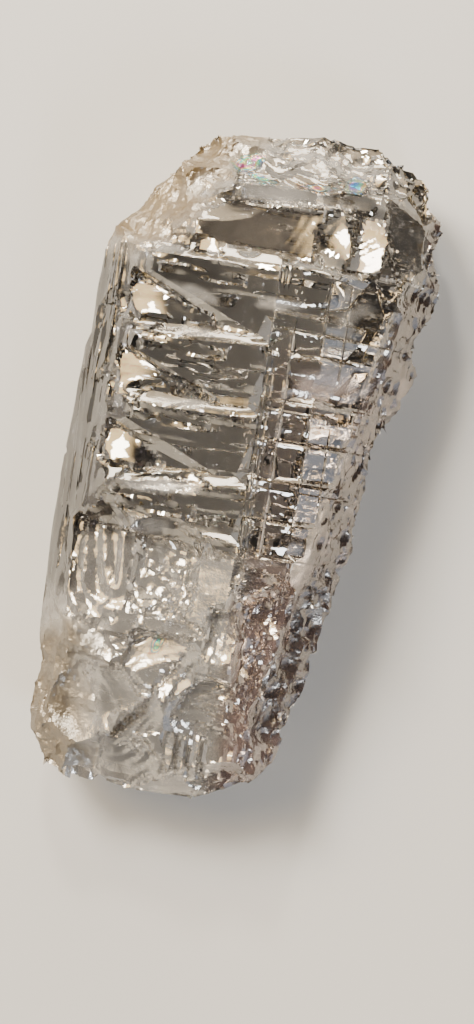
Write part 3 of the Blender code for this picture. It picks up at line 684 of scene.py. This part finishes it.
def add_fine_relief(tree, shader, place, frost):
    """Fine growth lines across the crystal, thin raised lines, and grain where it is frosted."""
    stretch = add_node(tree, "ShaderNodeMapping", Scale=FINE_STRETCH)
    tree.links.new(place, stretch.inputs["Vector"])
    lines = noise(tree, stretch.outputs["Vector"], 1.0, Detail=2.0, Roughness=0.55)
    fine = add_node(tree, "ShaderNodeBump", Strength=0.16, Distance=FINE_RELIEF * MM)
    tree.links.new(lines, fine.inputs["Height"])
    split = tree.nodes.new("ShaderNodeSeparateXYZ")
    tree.links.new(place, split.inputs[0])
    broken = mapped(tree, noise(tree, place, 260.0, Detail=1.0), 0.0, 1.0, *LINE_BREAKS)
    growth = product(tree, layer_value(tree, "growth"), broken)
    ladder = product(tree, layer_value(tree, "ladder"), broken)
    normal = add_lines(tree, split.outputs["X"], ZERO[0], LINES, LINE_SPAN, LINE_LEAD, growth,
                       fine.outputs["Normal"])
    normal = add_lines(tree, split.outputs["Y"], ZERO[1], RUNGS, RUNG_SPAN, RUNG_LEAD, ladder, normal)
    grit = noise(tree, place, 3200.0, Detail=2.0)
    normal = add_bump(tree, grit, GRAIN_RELIEF, mapped(tree, frost, 0.0, GRAIN_STRENGTH), normal)
    tree.links.new(normal, shader.inputs["Normal"])


def clear_material():
    """Clear crystal: polished where it grew, frosted and tan where it is worn or chipped."""
    material = bpy.data.materials.new("clear_crystal")
    material.use_nodes = True
    tree = material.node_tree
    shader = tree.nodes["Principled BSDF"]
    shader.inputs["IOR"].default_value = IOR
    shader.inputs["Specular Tint"].default_value = REFLECTION_TINT
    absorb = add_node(tree, "ShaderNodeVolumeAbsorption", Color=ABSORPTION, Density=ABSORPTION_DENSITY)
    tree.links.new(absorb.outputs["Volume"], tree.nodes["Material Output"].inputs["Volume"])
    place = tree.nodes.new("ShaderNodeTexCoord").outputs["Object"]
    frost = layer_value(tree, "frost")
    add_frost(tree, shader, place, frost)
    add_film(tree, shader, place)
    add_fine_relief(tree, shader, place, frost)
    return material


def add_layer(mesh, name, values):
    layer = mesh.attributes.new(name, "FLOAT", "POINT")
    layer.data.foreach_set("value", values.astype(np.float32))


def fine_mesh(node):
    """A new object with the node's solid as one fine, even mesh, with its edges kept."""
    bm = bmesh.new()
    bm.from_mesh(node.data)
    bm.transform(node.matrix_world)
    bmesh.ops.remove_doubles(bm, verts=bm.verts, dist=1e-7)
    solid = BVHTree.FromBMesh(bm)
    mesh = bpy.data.meshes.new("clear_body")
    bm.to_mesh(mesh)
    bm.free()
    body = bpy.data.objects.new("clear_body", mesh)
    bpy.context.scene.collection.objects.link(body)
    remesh = body.modifiers.new("fine", "REMESH")
    remesh.mode = "SHARP"
    remesh.octree_depth = GRID_DEPTH
    remesh.scale = GRID_FILL
    remesh.use_remove_disconnected = False
    bpy.context.view_layer.update()
    body.data = bpy.data.meshes.new_from_object(body.evaluated_get(bpy.context.evaluated_depsgraph_get()))
    body.modifiers.clear()
    for vertex in body.data.vertices:
        nearest, _, _, distance = solid.find_nearest(vertex.co)
        if distance > STRAY * MM:
            vertex.co = nearest
    return body


def clear_body():
    """The crystal: its finished surface, the layers that its material reads, and the material."""
    body = fine_mesh(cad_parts[NODE])
    mesh = body.data
    surface = Surface(mesh)
    zones = refine(surface)
    milky, film = crack_layers(surface)
    frost = sum(share * zones[zone] for zone, share in FROST.items())
    add_layer(mesh, "frost", np.clip(np.maximum(frost, milky), 0.0, 1.0))
    add_layer(mesh, "film", film)
    add_layer(mesh, "growth", zones["growth"])
    add_layer(mesh, "ladder", zones["ladder"])
    # The parts' own colours, with painted shade down the left side and painted pink light on the right.
    tint = np.tile(CLEAR_TINT, (len(mesh.vertices), 1))
    for zone, colour in ZONE_TINTS.items():
        tint += zones[zone][:, None] * (np.array(colour) - tint)
    layer = mesh.attributes.new("tint", "FLOAT_COLOR", "POINT")
    layer.data.foreach_set("color", np.column_stack((tint, np.ones(len(tint)))).astype(np.float32).ravel())
    mesh.shade_smooth()
    mesh.set_sharp_from_angle(angle=SHARP_ANGLE)
    mesh.materials.clear()
    mesh.materials.append(clear_material())
    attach(body, BODY)
    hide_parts(NODE)


def floor():
    bpy.ops.mesh.primitive_plane_add(size=FLOOR_SIZE * MM, location=(0.0, 0.0, -FLOOR_GAP * MM))
    ground = bpy.context.object
    ground.name = "floor"
    material = bpy.data.materials.new("pale_floor")
    material.use_nodes = True
    shader = material.node_tree.nodes["Principled BSDF"]
    shader.inputs["Base Color"].default_value = FLOOR_COLOUR
    shader.inputs["Roughness"].default_value = FLOOR_ROUGHNESS
    ground.data.materials.append(material)


# Softboxes, all aimed at one point: name, place, size, watts and colour.
SOFTBOXES = (
    ("key", (-180.0, 160.0, 260.0), (110.0, 110.0), 1.5, (1.0, 0.94, 0.85)),
    ("fill", (150.0, -190.0, 200.0), (70.0, 70.0), 0.3, (0.88, 0.93, 1.0)),
    ("sparkle", (-60.0, 190.0, 150.0), (26.0, 26.0), 0.25, (1.0, 0.93, 0.80)),
    ("top", (20.0, 280.0, 48.0), (320.0, 40.0), 0.55, (1.0, 0.90, 0.76)),
)
LIGHT_AIM = Vector((0.0, 0.0, 5.0))

# Soft glows of the studio walls: direction, the cosine where they end, and colour. Then the
# walls' own grey.
GLOWS = (
    ((-0.62, 0.42, 0.66), 0.86, (8.0, 5.7, 2.9)),
    ((0.05, 0.97, 0.24), 0.80, (2.8, 2.25, 1.55)),
    ((-0.95, -0.15, 0.28), 0.75, (0.6, 0.54, 0.47)),
    ((-0.60, -0.70, 0.38), 0.86, (1.8, 1.55, 1.2)),
    ((0.85, -0.50, 0.10), 0.86, (0.9, 1.0, 1.2)),
)
WALLS = (0.062, 0.060, 0.058, 1.0)


def softbox(name, location, size, watts, colour):
    light = bpy.data.lights.new(name, "AREA")
    light.shape = "RECTANGLE"
    light.size, light.size_y = (side * MM for side in size)
    light.energy = watts
    light.color = colour
    obj = bpy.data.objects.new(name, light)
    bpy.context.scene.collection.objects.link(obj)
    obj.location = Vector(location) * MM
    obj.rotation_euler = (LIGHT_AIM * MM - obj.location).to_track_quat("-Z", "Y").to_euler()


def glow(tree, direction, aim, end, colour, under):
    """A soft glow round one direction, added to the colour under it or else to the walls' grey."""
    facing = tree.nodes.new("ShaderNodeVectorMath")
    facing.operation = "DOT_PRODUCT"
    facing.inputs[1].default_value = Vector(aim).normalized()
    tree.links.new(direction, facing.inputs[0])
    share = add_node(tree, "ShaderNodeMapRange", From_Min=end, From_Max=1.0)
    share.interpolation_type = "SMOOTHERSTEP"
    tree.links.new(facing.outputs["Value"], share.inputs["Value"])
    layer = tree.nodes.new("ShaderNodeMix")
    layer.data_type = "RGBA"
    layer.blend_type = "ADD"
    layer.inputs[6].default_value = WALLS
    layer.inputs[7].default_value = (*colour, 1.0)
    if under:
        tree.links.new(under, layer.inputs[6])
    tree.links.new(share.outputs["Result"], layer.inputs[0])
    return layer.outputs[2]


def lights():
    world = bpy.data.worlds.new("studio")
    world.use_nodes = True
    tree = world.node_tree
    direction = tree.nodes.new("ShaderNodeTexCoord").outputs["Generated"]
    total = None
    for aim, end, colour in GLOWS:
        total = glow(tree, direction, aim, end, colour, total)
    tree.links.new(total, tree.nodes["Background"].inputs["Color"])
    bpy.context.scene.world = world
    for box in SOFTBOXES:
        softbox(*box)


def camera():
    data = bpy.data.cameras.new("camera")
    obj = bpy.data.objects.new("camera", data)
    bpy.context.scene.collection.objects.link(obj)
    data.sensor_fit = "VERTICAL"
    data.sensor_height = SENSOR
    data.lens = SENSOR * VIEW_DISTANCE * PIXELS_PER_MM / IMAGE_SIZE[1]
    data.clip_start = NEAREST_SEEN * MM
    right = Vector((math.cos(LEAN), math.sin(LEAN), 0.0))
    up = Vector((-math.sin(LEAN), math.cos(LEAN), 0.0))
    across = (IMAGE_SIZE[0] / 2 - ZERO_PIXEL[0]) / PIXELS_PER_MM
    along = (ZERO_PIXEL[1] - IMAGE_SIZE[1] / 2) / PIXELS_PER_MM
    centre = right * across + up * along + Vector(ZERO) + Vector((0.0, 0.0, FOCUS_HEIGHT + VIEW_DISTANCE))
    obj.matrix_world = Matrix.Translation(centre * MM) @ Matrix.Rotation(LEAN, 4, "Z")
    bpy.context.scene.camera = obj


clear_body()
floor()
lights()
camera()
